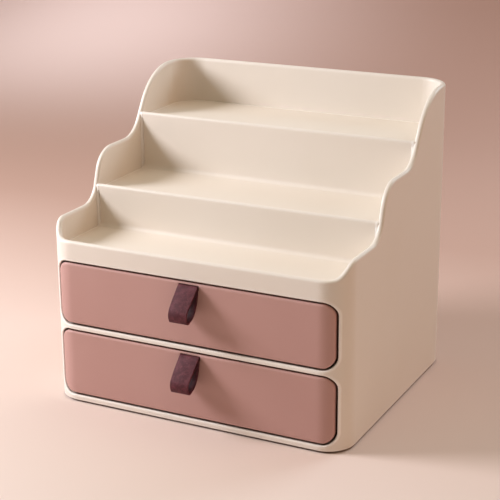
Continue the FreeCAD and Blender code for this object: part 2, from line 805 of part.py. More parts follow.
def make_drawer_front(drawer):
    front = new_body(drawer.name + "_drawer_front")
    plan = new_sketch(front, "Plan", "XY_Plane", drawer.front_bottom)
    draw_front_plan(plan)
    add_pad(front, plan, "RaiseFront", drawer.front_top - drawer.front_bottom)
    corners = new_sketch(front, "Corners", "XZ_Plane", -FRONT + OVERCUT)
    far = FRONT_HALF_WIDTH + OVERCUT
    draw_box(corners, "around", -far, far, drawer.front_bottom - OVERCUT, drawer.front_top + OVERCUT)
    radius = S["opening_corner"] - S["front_gap"]
    draw_box(corners, "kept", -FRONT_HALF_WIDTH, FRONT_HALF_WIDTH,
             drawer.front_bottom, drawer.front_top, (radius,) * 4)
    add_pocket(front, corners, "RoundCorners", S["front_corner"] + 2 * OVERCUT)
    codes = front_face_edges(front)
    add_fillet(front, "FaceRound", S["front_round"], lambda edge: edge.hashCode() in codes)
    slit = new_sketch(front, "Slit", "XZ_Plane", -FRONT + OVERCUT)
    half_width = S["strap_width"] / 2 + S["slit_clearance"]
    half_height = S["strap_thickness"] + S["slit_clearance"]
    draw_box(slit, "slit", -half_width, half_width, drawer.slit - half_height, drawer.slit + half_height)
    add_pocket(front, slit, "CutSlit", S["front_corner"])
    places = [(x, z) for x in FRONT_SCREW_COLUMNS for z in drawer.screw_rows]
    depth = S["front_screw_length"] - S["tray_wall"]
    drill_along_y(front, "TrayPilots", DRAWER_BACKING, places, depth, True)
    clamp_places = [(x, drawer.clamp_screw_height) for x in (-CLAMP_SCREW_COLUMN, CLAMP_SCREW_COLUMN)]
    clamp_depth = S["clamp_screw_length"] - CLAMP_DEPTH
    drill_along_y(front, "ClampPilots", DRAWER_BACKING, clamp_places, clamp_depth, True)


def draw_tray_outline(sketch, tag, inset):
    front = S["tray_front_corner"] - inset
    rear = S["tray_rear_corner"] - inset
    half = TRAY_HALF_WIDTH - inset
    draw_box(sketch, tag, -half, half, DRAWER_BACKING + inset, TRAY_REAR - inset,
             (front, front, rear, rear))


def make_tray(drawer):
    """The box of a drawer, with a stop lug near the back of each side."""
    tray = new_body(drawer.name + "_drawer_tray")
    outline = new_sketch(tray, "Outline", "XY_Plane", drawer.tray_bottom)
    draw_tray_outline(outline, "outer", ZERO)
    add_pad(tray, outline, "RaiseBox", drawer.tray_top - drawer.tray_bottom)
    hollow = new_sketch(tray, "Hollow", "XY_Plane", drawer.tray_top)
    draw_tray_outline(hollow, "inner", S["tray_wall"])
    depth = drawer.tray_top - drawer.tray_bottom - S["tray_bottom"]
    add_pocket(tray, hollow, "CutHollow", depth)
    floor = drawer.tray_bottom.value + S["tray_bottom"].value
    inner_round = TRAY_BOTTOM_ROUND - S["tray_wall"]
    add_fillet(tray, "FloorRound", inner_round, lambda edge: lies_at_height(edge, floor))
    low = drawer.tray_bottom.value
    add_fillet(tray, "BottomRound", TRAY_BOTTOM_ROUND, lambda edge: lies_at_height(edge, low))
    lug_low = drawer.floor + S["runner_height"] + S["lug_clearance"]
    lug_front = RUNNER_FRONT + S["stop_length"] + S["drawer_travel"] + S["stop_clearance"]
    lugs = new_sketch(tray, "StopLugs", "XY_Plane", lug_low)
    near = TRAY_HALF_WIDTH - S["tray_wall"] / 2
    far = TRAY_HALF_WIDTH + S["lug_reach"]
    draw_box(lugs, "right", near, far, lug_front, lug_front + S["lug_length"])
    draw_box(lugs, "left", -far, -near, lug_front, lug_front + S["lug_length"])
    add_pad(tray, lugs, "AddLugs", S["lug_height"])
    places = [(x, z) for x in FRONT_SCREW_COLUMNS for z in drawer.screw_rows]
    drill_along_y(tray, "FrontHoles", DRAWER_BACKING, places, S["tray_wall"], False)


def make_strap_tail(drawer):
    """Both ends of the strap, passed through the slit and folded down."""
    tail = new_body(drawer.name + "_strap_tail")
    sketch = new_sketch(tail, "Fold", "YZ_Plane")
    strap = S["strap_thickness"]
    mouth = DRAWER_FACE + strap + S["root_clearance"]
    rear = DRAWER_BACKING + strap * 2
    draw_outline(sketch, "fold", [
        (mouth, drawer.slit - strap, None),
        (DRAWER_BACKING, drawer.slit - strap, None),
        (DRAWER_BACKING, drawer.clamp_bottom, None),
        (rear, drawer.clamp_bottom, None),
        (rear, drawer.clamp_top, None),
        (mouth, drawer.clamp_top, None),
    ])
    add_pad(tail, sketch, "Width", S["strap_width"], symmetric=True)


def make_clamp(drawer):
    """A bridge that presses the strap's ends against the drawer front."""
    clamp = new_body(drawer.name + "_strap_clamp")
    sketch = new_sketch(clamp, "Bridge", "XY_Plane", drawer.clamp_bottom)
    half = S["clamp_half_width"]
    rear = DRAWER_BACKING + CLAMP_DEPTH
    channel_rear = DRAWER_BACKING + S["strap_thickness"] * 2
    draw_outline(sketch, "bridge", [
        (-half, DRAWER_BACKING, None),
        (-CHANNEL_HALF_WIDTH, DRAWER_BACKING, None),
        (-CHANNEL_HALF_WIDTH, channel_rear, None),
        (CHANNEL_HALF_WIDTH, channel_rear, None),
        (CHANNEL_HALF_WIDTH, DRAWER_BACKING, None),
        (half, DRAWER_BACKING, None),
        (half, rear, None),
        (-half, rear, None),
    ])
    add_pad(clamp, sketch, "Raise", drawer.clamp_top - drawer.clamp_bottom)
    places = [(x, drawer.clamp_screw_height) for x in (-CLAMP_SCREW_COLUMN, CLAMP_SCREW_COLUMN)]
    drill_along_y(clamp, "Holes", DRAWER_BACKING, places, CLAMP_DEPTH, False)


def make_pull_loop(drawer):
    """The part of the strap in front: a band bent to a drop, and the round root
    that it swings about in the mouth of the slit."""
    loop = new_body(drawer.name + "_pull_loop")
    strap = S["strap_thickness"]
    gap = S["loop_stand_off"]
    reach = S["loop_reach"]
    heel = S["loop_heel"]
    tip_z = drawer.slit + strap * math.sqrt(2.0) - gap
    shoulder_z = tip_z - reach + gap
    low = drawer.slit - S["loop_drop"]
    bend = strap * HALF_BEND
    outer_y = DRAWER_FACE - gap
    band = new_sketch(loop, "Band", "YZ_Plane")
    draw_outline(band, "outer", [
        (outer_y, tip_z, S["loop_tip_round"]),
        (DRAWER_FACE - reach, shoulder_z, S["loop_shoulder_round"]),
        (DRAWER_FACE - reach, low, S["loop_toe_round"]),
        (outer_y - heel, low, S["loop_heel_round"]),
        (outer_y, low + heel, S["loop_heel_round"]),
    ])
    draw_outline(band, "inner", [
        (outer_y - strap, tip_z - strap * TIP_BEND, S["loop_crotch_round"]),
        (DRAWER_FACE - reach + strap, shoulder_z - bend, S["loop_shoulder_round"] - strap),
        (DRAWER_FACE - reach + strap, low + strap, S["loop_toe_round"] - strap),
        (outer_y - heel - bend, low + strap, S["loop_heel_round"] - strap),
        (outer_y - strap, low + heel + bend, S["loop_heel_round"] - strap),
    ])
    add_pad(loop, band, "Width", S["strap_width"], symmetric=True)
    root = new_sketch(loop, "Root", "YZ_Plane")
    draw_circle(root, "root", DRAWER_FACE, drawer.slit, strap * 2)
    add_pad(loop, root, "AddRoot", S["strap_width"], symmetric=True)


def make_drawer(drawer):
    make_drawer_front(drawer)
    make_tray(drawer)
    make_strap_tail(drawer)
    make_clamp(drawer)
    make_pull_loop(drawer)
    inside_tray = DRAWER_BACKING + S["tray_wall"]
    tray_seats = [(x, inside_tray, z) for x in FRONT_SCREW_COLUMNS for z in drawer.screw_rows]
    forward = FreeCAD.Vector(0, -1, 0)
    make_screws(drawer.name + "_front_screws", tray_seats, forward, S["front_screw_length"])
    clamp_seats = [(x, DRAWER_BACKING + CLAMP_DEPTH, drawer.clamp_screw_height)
                   for x in (-CLAMP_SCREW_COLUMN, CLAMP_SCREW_COLUMN)]
    make_screws(drawer.name + "_clamp_screws", clamp_seats, forward, S["clamp_screw_length"])


# ---------------------------------------------------------------------------
# Assembly
# ---------------------------------------------------------------------------


def make_housing():
    make_housing_shell()
    make_stepped_deck()
    make_plate("drawer_shelf", SHELF_UNDERSIDE, RUNNER_SCREW_PLACES)
    make_plate("base_plate", BASE_UNDERSIDE, RUNNER_SCREW_PLACES + BOSS_PLACES)
    make_runner("upper_left_runner", -1, S["upper_opening_bottom"])
    make_runner("upper_right_runner", 1, S["upper_opening_bottom"])
    make_runner("lower_left_runner", -1, S["lower_opening_bottom"])
    make_runner("lower_right_runner", 1, S["lower_opening_bottom"])
    upward = FreeCAD.Vector(0, 0, 1)
    base_seats = [(x, y, BASE_UNDERSIDE) for x, y in RUNNER_SCREW_PLACES + BOSS_PLACES]
    make_screws("base_screws", base_seats, upward, S["plate_screw_length"])
    shelf_seats = [(x, y, SHELF_UNDERSIDE) for x, y in RUNNER_SCREW_PLACES]
    make_screws("shelf_screws", shelf_seats, upward, S["plate_screw_length"])
    foot_x = SIDE - S["foot_side_inset"]
    front_y = FRONT + S["foot_front_inset"]
    rear_y = BACK - S["foot_rear_inset"]
    make_foot("front_left_foot", -foot_x, front_y)
    make_foot("front_right_foot", foot_x, front_y)
    make_foot("rear_left_foot", -foot_x, rear_y)
    make_foot("rear_right_foot", foot_x, rear_y)


def check_document():
    """Stop at any failed object or bad shape, before a file is written."""
    for item in doc.Objects:
        for state in ("Invalid", "Error"):
            if state in item.State:
                raise RuntimeError("%s is in state %s" % (item.Name, item.State))
    for part in sub_parts:
        if part.Shape.isNull() or not part.Shape.isValid():
            raise RuntimeError(part.Label + " has no valid shape")


def write_parts():
    os.makedirs(PARTS_FOLDER, exist_ok=True)
    for part in sub_parts:
        shape = part.Shape
        shape.exportStep("%s/%s.step" % (PARTS_FOLDER, part.Label))
        print("%-24s %2d solid %10.1f mm3" % (part.Label, len(shape.Solids), shape.Volume))


make_housing()
make_drawer(Drawer("upper", S["upper_opening_bottom"], S["upper_opening_top"]))
make_drawer(Drawer("lower", S["lower_opening_bottom"], S["lower_opening_top"]))
doc.recompute()
check_document()
write_parts()
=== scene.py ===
# %% [markdown]
# # A tabletop organiser with two drawers and leather loop pulls
#
# The solids of the organiser come ready made from the frame: a moulded case, a
# stepped deck, drawers, runners and screws. They are exact, so they stay, and
# each one gets a finish of its own here. Soft or fine things, such as the
# leather straps, the cross recesses of the screws and the small fillets inside
# the case, are modelled in Blender; the screws, feet and fillets ride on the
# bodies of the frame.

# %% Load the frame
import bpy
import json
import math
from mathutils import Matrix, Vector


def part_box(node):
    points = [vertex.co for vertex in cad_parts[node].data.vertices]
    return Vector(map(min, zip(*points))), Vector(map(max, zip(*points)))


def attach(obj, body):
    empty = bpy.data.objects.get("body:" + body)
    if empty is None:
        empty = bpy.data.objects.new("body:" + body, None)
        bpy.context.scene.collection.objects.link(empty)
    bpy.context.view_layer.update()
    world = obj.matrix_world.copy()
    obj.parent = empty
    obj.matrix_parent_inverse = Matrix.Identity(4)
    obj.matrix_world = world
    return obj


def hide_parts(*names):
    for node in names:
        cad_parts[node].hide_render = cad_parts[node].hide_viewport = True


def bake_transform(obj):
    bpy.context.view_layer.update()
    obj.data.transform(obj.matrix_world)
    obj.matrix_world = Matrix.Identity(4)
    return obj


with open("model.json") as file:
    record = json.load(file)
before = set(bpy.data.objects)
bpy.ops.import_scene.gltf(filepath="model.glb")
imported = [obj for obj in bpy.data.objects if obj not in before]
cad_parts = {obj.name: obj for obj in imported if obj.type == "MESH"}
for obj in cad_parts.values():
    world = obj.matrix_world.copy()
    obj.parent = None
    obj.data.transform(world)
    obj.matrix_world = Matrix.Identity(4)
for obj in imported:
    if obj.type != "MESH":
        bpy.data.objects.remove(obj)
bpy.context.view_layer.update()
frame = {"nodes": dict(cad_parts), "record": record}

nodes = frame["nodes"]
MM = 0.001

# %% [markdown]
# ## Where the eye stands
#
# The organiser is seen from the right and from above, through a long lens: that
# keeps the drawer edges almost parallel. A camera could be aimed with a
# constraint, but three plain turns say the same and leave nothing to evaluate:
# round the object, down towards it, and a trace of roll.

# %% Camera
EYE = Vector((0.54234, -1.07431, 0.52306))
FOCAL_LENGTH, SENSOR_WIDTH = 102.45, 36.0
around, down, roll = math.radians(26.783), math.radians(18.347), math.radians(-0.452)
turn = (
    Matrix.Rotation(around, 4, "Z")
    @ Matrix.Rotation(math.pi / 2 - down, 4, "X")
    @ Matrix.Rotation(roll, 4, "Z")
)
bpy.ops.object.camera_add()
camera = bpy.context.object
camera.name = "camera"
camera.matrix_world = Matrix.Translation(EYE) @ turn
camera.data.sensor_width = SENSOR_WIDTH
camera.data.lens = FOCAL_LENGTH
camera.data.clip_end = 50.0
bpy.context.scene.camera = camera
print("camera", [round(v, 3) for v in camera.location])

# %% [markdown]
# ## The floor
#
# A studio sweep is one sheet of paper: flat under the object, then bent up
# behind it, so there is no corner line. It is a plane whose rear edge is
# extruded upwards and whose fold is bevelled into a wide curve. Two flat planes
# would be simpler, but they would meet in a line behind the organiser.

# %% Selecting and editing
def clear_selection():
    """Operators act on all that is selected, so nothing may stay selected."""
    if bpy.context.mode != "OBJECT":
        bpy.ops.object.mode_set(mode="OBJECT")
    bpy.ops.object.select_all(action="DESELECT")


def select_only(*pieces):
    """Select these pieces and nothing else, and make the first one active."""
    clear_selection()
    for piece in pieces:
        piece.select_set(True)
    bpy.context.view_layer.objects.active = pieces[0]


def edit(piece, kind="FACE"):
    """Open a piece in edit mode with nothing in it selected."""
    select_only(piece)
    bpy.ops.object.mode_set(mode="EDIT")
    bpy.ops.mesh.select_mode(type=kind)
    bpy.ops.mesh.select_all(action="DESELECT")


def pick(piece, test, kind="FACE"):
    """Select the faces, edges or vertices of a piece that pass a test."""
    bpy.ops.object.mode_set(mode="OBJECT")
    mesh = piece.data
    parts = {"FACE": mesh.polygons, "EDGE": mesh.edges, "VERT": mesh.vertices}[kind]
    count = 0
    for part in parts:
        part.select = bool(test(part))
        count += part.select
    bpy.ops.object.mode_set(mode="EDIT")
    return count


def edge_middle(mesh, edge):
    a, b = edge.vertices
    return (mesh.vertices[a].co + mesh.vertices[b].co) / 2


def pick_edges(piece, test):
    """Select the edges whose middle passes a test."""
    return pick(piece, lambda edge: test(edge_middle(piece.data, edge)), "EDGE")


def apply_all(piece):
    """Apply place, turn and scale, then every modifier, in order."""
    select_only(piece)
    bpy.ops.object.transform_apply(location=True, rotation=True, scale=True)
    for modifier in list(piece.modifiers):
        bpy.ops.object.modifier_apply(modifier=modifier.name)


# %% Studio sweep
SWEEP_MIDDLE, SWEEP_WIDTH, SWEEP_DEPTH = 0.4, 7.0, 5.0
SWEEP_HEIGHT, FOLD_RADIUS = 3.5, 1.6

clear_selection()
bpy.ops.mesh.primitive_plane_add(size=1, location=(SWEEP_MIDDLE, 0.0, 0.0))
sweep = bpy.context.object
sweep.name = "studio_sweep"
sweep.scale = (SWEEP_WIDTH, SWEEP_DEPTH, 1.0)
apply_all(sweep)
edit(sweep, "EDGE")
rear = SWEEP_DEPTH / 2 - 0.1
pick_edges(sweep, lambda m: m.y > rear)
bpy.ops.mesh.extrude_region_move(TRANSFORM_OT_translate={"value": (0.0, 0.0, SWEEP_HEIGHT)})
pick_edges(sweep, lambda m: m.y > rear and m.z < 0.1 and abs(m.x - SWEEP_MIDDLE) < 0.1)
bpy.ops.mesh.bevel(offset=FOLD_RADIUS, segments=24, profile=0.5, affect="EDGES")
select_only(sweep)
bpy.ops.object.shade_smooth()
print("sweep faces", len(sweep.data.polygons))

# %% [markdown]
# ## The lamps
#
# One soft lamp stands to the front left. It makes the left ends of the trays
# fall into shade and throws the shadow of each loop to the right. A weaker,
# bluer lamp behind on the right brings out the rims. Both are round and wide,
# like softboxes: a small lamp would give the shadows hard edges.
#
# A spot straight above the paper, far behind on the left, lights only the
# paper, and makes the soft bright patch in the background.

# %% Lamps
def add_lamp(kind, name, place, power, colour):
    bpy.ops.object.light_add(type=kind, location=place)
    lamp = bpy.context.object
    lamp.name = name
    lamp.data.energy = power
    lamp.data.color = colour
    return lamp


def add_softbox(name, place, size, power, colour):
    """A round area lamp that faces the middle of the organiser."""
    lamp = add_lamp("AREA", name, place, power, colour)
    target = Vector((0.0, 0.0, 0.12))
    lamp.rotation_euler = (target - Vector(place)).to_track_quat("-Z", "Y").to_euler()
    lamp.data.shape = "DISK"
    lamp.data.size = size


add_softbox("key_lamp", (-1.04, -0.485, 0.73), 0.5, 18.4, (0.95, 0.95, 1.0))
add_softbox("rear_lamp", (0.61, 1.06, 0.98), 0.8, 8.1, (0.74, 0.89, 1.0))
background_spot = add_lamp("SPOT", "background_spot", (-1.0, 1.33, 1.4), 135.0, (0.63, 0.85, 1.0))
background_spot.data.spot_size = math.radians(49)
background_spot.data.spot_blend = 1.0
background_spot.data.shadow_soft_size = 0.35

# %% [markdown]
# ## The room
#
# A small product studio has light walls and a ceiling, and they light the
# shaded sides. A panorama of a room would do it, but two broad lobes are
# enough and stay easy to change: each is the cosine between a direction of the
# room and the direction looked in, squared and multiplied by a colour. The
# camera itself sees one plain backdrop colour past the end of the paper, so the
# lobes can be tuned without changing what stands behind the object. The light
# is bright overhead, has a warm glow from the right and is dark in front, so
# that the corner between front and side falls away.
#
# The world is made of nodes, and so is every finish later on. Four small tools
# add a node, fill its inputs, do a sum and mix two colours.

# %% Node tools
def fill(made, sockets):
    """Set or link inputs of a node; sockets gives a value or a link for each."""
    for key, value in sockets.items():
        if isinstance(value, bpy.types.NodeSocket):
            made.id_data.links.new(value, made.inputs[key])
        else:
            made.inputs[key].default_value = value


def node(tree, kind, sockets=None, **settings):
    made = tree.nodes.new(kind)
    for key, value in settings.items():
        setattr(made, key, value)
    fill(made, sockets or {})
    return made


def math_node(tree, operation, *values, clamp=False):
    made = node(tree, "ShaderNodeMath", dict(enumerate(values)), operation=operation, use_clamp=clamp)
    return made.outputs[0]


def mix_colour(tree, factor, a, b):
    """Colour a where the factor is 0 and colour b where it is 1."""
    made = tree.nodes.new("ShaderNodeMix")
    made.data_type = "RGBA"
    fill(made, {0: factor, 6: a, 7: b})
    return made.outputs[2]


# %% World
# Where each lobe of the room's light comes from, and its colour.
ROOM_LOBES = (
    ((0.0, 0.0, 1.0), (0.79, 0.72, 0.57)),
    ((1.0, 0.36, 0.17), (0.57, 0.255, 0.11)),
)
LOBE_POWER = 2.0
BACKDROP = (0.60, 0.44, 0.38, 1.0)

world = bpy.data.worlds.new("warm_room")
bpy.context.scene.world = world
world.use_nodes = True
sky = world.node_tree
heading = node(sky, "ShaderNodeTexCoord").outputs["Generated"]
glow = (0.0, 0.0, 0.0)
for toward, colour in ROOM_LOBES:
    facing = node(sky, "ShaderNodeVectorMath", {0: heading, 1: Vector(toward).normalized()},
                  operation="DOT_PRODUCT")
    ahead = math_node(sky, "MAXIMUM", facing.outputs["Value"], 0.0)
    lobe = math_node(sky, "POWER", ahead, LOBE_POWER)
    lit = node(sky, "ShaderNodeVectorMath", {0: lobe, 1: colour, 2: glow}, operation="MULTIPLY_ADD")
    glow = lit.outputs["Vector"]
seen = node(sky, "ShaderNodeLightPath").outputs["Is Camera Ray"]
sky.links.new(mix_colour(sky, seen, glow, BACKDROP), sky.nodes["Background"].inputs["Color"])
bpy.context.scene.view_settings.view_transform = "Standard"
print("world nodes", len(sky.nodes))

# %% [markdown]
# ## The leather pulls
#
# Each pull is one strip of leather. Both of its ends go through a slit in the
# drawer front, one on the other, and fold down behind it, where a steel clamp
# presses them against the plastic. In front, the strip leans out, turns under
# and comes back along the face, so it hangs as a drop.
#
# A strip like this could be a bent box, but its line is what matters, so a
# curve is used: the line is drawn once from the side, given a width, turned into
# a mesh and then thickened. A curve bends evenly between its points, as
# leather does, and one drawing serves both drawers.

# %% Line of the strap, seen from the side
# How far out of the drawer face, and how high above the middle of the slit, in mm.
strap_line = [
    (-7.4, -9.9), (-7.4, -4.0), (-7.4, -0.6), (-6.9, 0.82), (-4.6, 0.82), (-1.6, 0.82),
    (0.9, 0.85), (1.9, 0.35), (3.4, -1.2), (7.8, -5.5), (12.4, -10.0), (16.9, -15.0),
    (18.7, -18.2), (18.8, -21.6), (17.9, -24.0), (17.2, -25.6), (15.9, -26.3),
    (13.8, -26.0), (11.0, -25.0), (7.2, -23.2), (4.2, -19.8), (2.6, -15.0),
    (1.75, -10.0), (1.3, -5.0), (1.15, -1.9), (0.3, -0.82), (-2.4, -0.82),
    (-4.9, -0.82), (-5.8, -1.4), (-5.8, -4.2), (-5.8, -9.9),
]
strap_width, strap_thickness = 18.0 * MM, 1.6 * MM


def draw_strap(name, face, slit):
    """A ribbon along the line; its height above the drawing is the width."""
    clear_selection()
    bpy.ops.curve.primitive_nurbs_path_add(location=(0.0, face, slit))
    piece = bpy.context.object
    piece.name = name
    piece.data.dimensions = "2D"
    piece.data.extrude = strap_width / 2
    line = piece.data.splines[0]
    line.points.add(len(strap_line) - len(line.points))
    for point, (out, up) in zip(line.points, strap_line):
        point.co = (-out * MM, up * MM, 0.0, 1.0)
    line.order_u = 3
    line.use_endpoint_u = True
    line.resolution_u = 5
    piece.rotation_euler = (math.pi / 2, 0.0, math.pi / 2)
    bpy.ops.object.convert(target="MESH")
    return bpy.context.object


def narrow_toe(piece, face, slit):
    """The strip was cut a little narrower towards the toe, along one side."""
    toe_top, toe_front = slit - 22.0 * MM, face - 6.0 * MM
    narrowed_width = 0.93

    def in_toe(vertex):
        place = piece.matrix_world @ vertex.co
        return place.z < toe_top and place.y < toe_front

    edit(piece, "VERT")
    count = pick(piece, in_toe, "VERT")
    bpy.ops.transform.resize(
        value=(narrowed_width, 1.0, 1.0), center_override=(-strap_width / 2, face, slit),
        use_proportional_edit=True, proportional_edit_falloff="SMOOTH", proportional_size=22.0 * MM)
    print("narrowed", count, "points of", piece.name)


# %% Give the strap its thickness and its cut edges
FINISH_GAP = 0.04 * MM  # the solid strap is this much thicker than the leather
EDGE_ROUND = 0.28 * MM


def thicken_strap(piece):
    """Split the width, then thicken; the rims take the second material."""
    edit(piece, "EDGE")
    pick_edges(piece, lambda m: abs(m.z) < 1e-6)
    bpy.ops.mesh.subdivide(number_cuts=7)
    select_only(piece)
    body = piece.modifiers.new("thickness", "SOLIDIFY")
    body.thickness = strap_thickness - FINISH_GAP
    body.offset = 0.0
    body.use_even_offset = True
    body.material_offset_rim = 1
    edges = piece.modifiers.new("burnished_edges", "BEVEL")
    edges.width, edges.segments = EDGE_ROUND, 3
    edges.limit_method, edges.angle_limit = "ANGLE", math.radians(60)
    apply_all(piece)
    bpy.ops.object.shade_smooth_by_angle(angle=math.radians(50))


straps = {}
for drawer in ("upper", "lower"):
    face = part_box(drawer + "_drawer_front")[0].y
    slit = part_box(drawer + "_strap_tail")[1].z - strap_thickness
    strap = draw_strap(drawer + "_leather_strap", face, slit)
    narrow_toe(strap, face, slit)
    thicken_strap(strap)
    straps[drawer] = (strap, face, slit)
    print(strap.name, len(strap.data.polygons), "faces, slit at", round(slit, 4))

# %% [markdown]
# A pull swings where it leaves the slit: the ends behind stay with the drawer
# and the loop in front turns. Each strap takes the place of the frame's strap
# tail and loop, which are hidden.

# %% Hide the frame's strap tails and loops, and bake each strap's place
for drawer, (strap, face, slit) in straps.items():
    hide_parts(drawer + "_strap_tail", drawer + "_pull_loop")
    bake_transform(strap)

# %% [markdown]
# ## Screws
#
# Thread-forming screws hold the runners, the shelf, the drawer fronts and the
# strap clamps. A real one is cold headed: a round wire is upset to a pan head,
# a punch sinks the cross, and rolling dies raise the thread. The same order is
# used here. The head is a cylinder with a bevelled rim, the cross is a small
# tapered block taken out of it, and the thread is a triangle wound upwards by
# the Screw modifier. Hidden screws could stay plain cylinders, but they show
# when a drawer is pulled out or the case is turned over. One screw is made for
# each length and then copied.

# %% Where the screws are
def loose_boxes(name):
    """Lowest and highest corner of every separate solid in a node."""
    select_only(nodes[name])
    bpy.ops.object.duplicate()
    spare = bpy.context.object
    edit(spare, "VERT")
    bpy.ops.mesh.select_all(action="SELECT")
    bpy.ops.mesh.remove_doubles(threshold=0.001 * MM)
    bpy.ops.mesh.separate(type="LOOSE")
    bpy.ops.object.mode_set(mode="OBJECT")
    boxes = []
    for part in list(bpy.context.selected_objects):
        places = [v.co for v in part.data.vertices]
        boxes.append([Vector([ends(v[i] for v in places) for i in range(3)]) for ends in (min, max)])
    bpy.ops.object.delete()
    return boxes


# %% Pan head with a cross recess
HEAD_RADIUS, HEAD_HEIGHT, HEAD_ROUND = 2.8 * MM, 1.7 * MM, 1.1 * MM
CROSS_WIDTH, CROSS_DEPTH, CROSS_REACH, CROSS_TAPER = 0.62 * MM, 1.1 * MM, 1.0 * MM, 0.55


def take_out(piece, tool):
    """Subtract a tool from a piece and throw the tool away."""
    select_only(piece)
    cut = piece.modifiers.new("cut", "BOOLEAN")
    cut.operation, cut.solver, cut.object = "DIFFERENCE", "EXACT", tool
    bpy.ops.object.modifier_apply(modifier=cut.name)
    select_only(tool)
    bpy.ops.object.delete()


def add_cylinder(radius, low, high, sides):
    """An upright cylinder on the Z axis between two heights."""
    clear_selection()
    bpy.ops.mesh.primitive_cylinder_add(vertices=sides, radius=radius, depth=high - low,
                                        location=(0.0, 0.0, (low + high) / 2))
    made = bpy.context.object
    apply_all(made)
    return made


def draw_punch():
    """The tapered cross that sinks the recess; it reaches out below the head."""
    above = 0.2 * MM
    clear_selection()
    bpy.ops.mesh.primitive_cube_add(size=1, location=(0.0, 0.0, (CROSS_DEPTH - above) / 2),
                                    scale=(CROSS_WIDTH, CROSS_WIDTH, CROSS_DEPTH + above))
    punch = bpy.context.object
    apply_all(punch)
    edit(punch)
    pick(punch, lambda f: abs(f.normal.z) < 0.1)
    bpy.ops.mesh.extrude_faces_move(TRANSFORM_OT_shrink_fatten={"value": CROSS_REACH})
    pick(punch, lambda v: v.co.z > CROSS_DEPTH - 0.1 * MM, "VERT")
    bpy.ops.transform.resize(value=(CROSS_TAPER, CROSS_TAPER, 1.0), center_override=(0.0, 0.0, 0.0))
    return punch


def draw_head():
    head = add_cylinder(HEAD_RADIUS, 0.0, HEAD_HEIGHT, sides=40)
    edit(head, "EDGE")
    pick_edges(head, lambda m: m.z < 0.01 * MM)
    bpy.ops.mesh.bevel(offset=HEAD_ROUND, segments=6, profile=0.5, affect="EDGES")
    take_out(head, draw_punch())
    return head


# %% Core and thread
CORE_RADIUS, TIP_HEIGHT, TIP_TAPER = 1.12 * MM, 1.2 * MM, 0.3
THREAD_PITCH, THREAD_RADIUS, THREAD_SECTION = 0.8 * MM, 1.05 * MM, 0.35 * MM
SUNK_IN_HEAD, BARE_NECK = 0.3 * MM, 0.5 * MM


def draw_core(shank_end):
    """A plain round core that is drawn in to a tip at its far end."""
    core = add_cylinder(CORE_RADIUS, HEAD_HEIGHT - SUNK_IN_HEAD, shank_end, sides=24)
    edit(core)
    pick(core, lambda f: f.normal.z > 0.9)
    bpy.ops.mesh.extrude_region_move(TRANSFORM_OT_translate={"value": (0.0, 0.0, TIP_HEIGHT)})
    bpy.ops.transform.resize(value=(TIP_TAPER, TIP_TAPER, 1.0), center_override=(0.0, 0.0, 0.0))
    return core


def draw_thread(shank_end):
    """A triangle wound up the core, closed at both ends."""
    start = HEAD_HEIGHT + BARE_NECK
    clear_selection()
    bpy.ops.mesh.primitive_circle_add(vertices=3, radius=THREAD_SECTION,
                                      location=(THREAD_RADIUS, 0.0, start),
                                      rotation=(math.pi / 2, math.pi / 2, 0.0))
    thread = bpy.context.object
    wind = thread.modifiers.new("wind", "SCREW")
    wind.axis, wind.screw_offset = "Z", THREAD_PITCH
    wind.iterations = int((shank_end - start) / THREAD_PITCH)
    wind.steps = wind.render_steps = 14
    apply_all(thread)
    edit(thread, "VERT")
    bpy.ops.mesh.select_all(action="SELECT")
    bpy.ops.mesh.fill_holes(sides=3)
    bpy.ops.mesh.select_all(action="SELECT")
    bpy.ops.mesh.normals_make_consistent(inside=False)
    return thread


def draw_screw(name, length):
    """One screw driven upwards, with the outer face of its head at z = 0."""
    shank_end = length - TIP_HEIGHT
    head = draw_head()
    head.name = name
    select_only(head, draw_core(shank_end), draw_thread(shank_end))
    bpy.ops.object.join()
    bpy.ops.object.shade_smooth_by_angle(angle=math.radians(35))
    return head


# %% Put a screw in each place
SCREW_ROWS = (
    ("base_screws", "housing", 9.0),
    ("shelf_screws", "housing", 9.0),
    ("upper_front_screws", "upper_drawer", 5.2),
    ("lower_front_screws", "lower_drawer", 5.2),
    ("upper_clamp_screws", "upper_drawer", 7.2),
    ("lower_clamp_screws", "lower_drawer", 7.2),
)
FIRST_TURN, NEXT_TURN = 0.4, 0.7  # no two cross recesses stand at the same angle

made_pieces = {"screw_steel": [], "foot_rubber": [], "ivory_plastic": []}


def keep_piece(piece, slot, body):
    """Give a made piece its finish slot and let it ride on a body."""
    made_pieces[slot].append(piece)
    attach(piece, body)


def place_screw(pattern, low, high, upright, own_turn):
    """A copy of the pattern; upright screws are driven up, the others forward."""
    select_only(pattern)
    bpy.ops.object.duplicate()
    screw = bpy.context.object
    middle = (low + high) / 2
    screw.location = (middle.x, middle.y, low.z) if upright else (middle.x, high.y, middle.z)
    screw.rotation_euler = (0.0, 0.0, own_turn) if upright else (math.pi / 2, own_turn, 0.0)
    return screw


patterns = {length: draw_screw(f"screw_{length:g}", length * MM) for length in (9.0, 5.2, 7.2)}
for row, body, length in SCREW_ROWS:
    placed = [place_screw(patterns[length], low, high, body == "housing", FIRST_TURN + NEXT_TURN * i)
              for i, (low, high) in enumerate(loose_boxes(row))]
    select_only(*placed)
    bpy.ops.object.join()
    screws = bpy.context.object
    screws.name = row.replace("screws", "cross_screws")
    apply_all(screws)
    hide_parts(row)
    keep_piece(screws, "screw_steel", body)
    print(screws.name, len(placed), "screws,", len(screws.data.polygons), "faces")
select_only(*patterns.values())
bpy.ops.object.delete()

# %% [markdown]
# ## Rubber feet
#
# Four round feet of soft rubber keep the case from sliding. A moulded foot has
# rounded edges and a shallow cup underneath, which grips the table. It is a
# cylinder whose lower face is inset twice and pushed up, then bevelled.

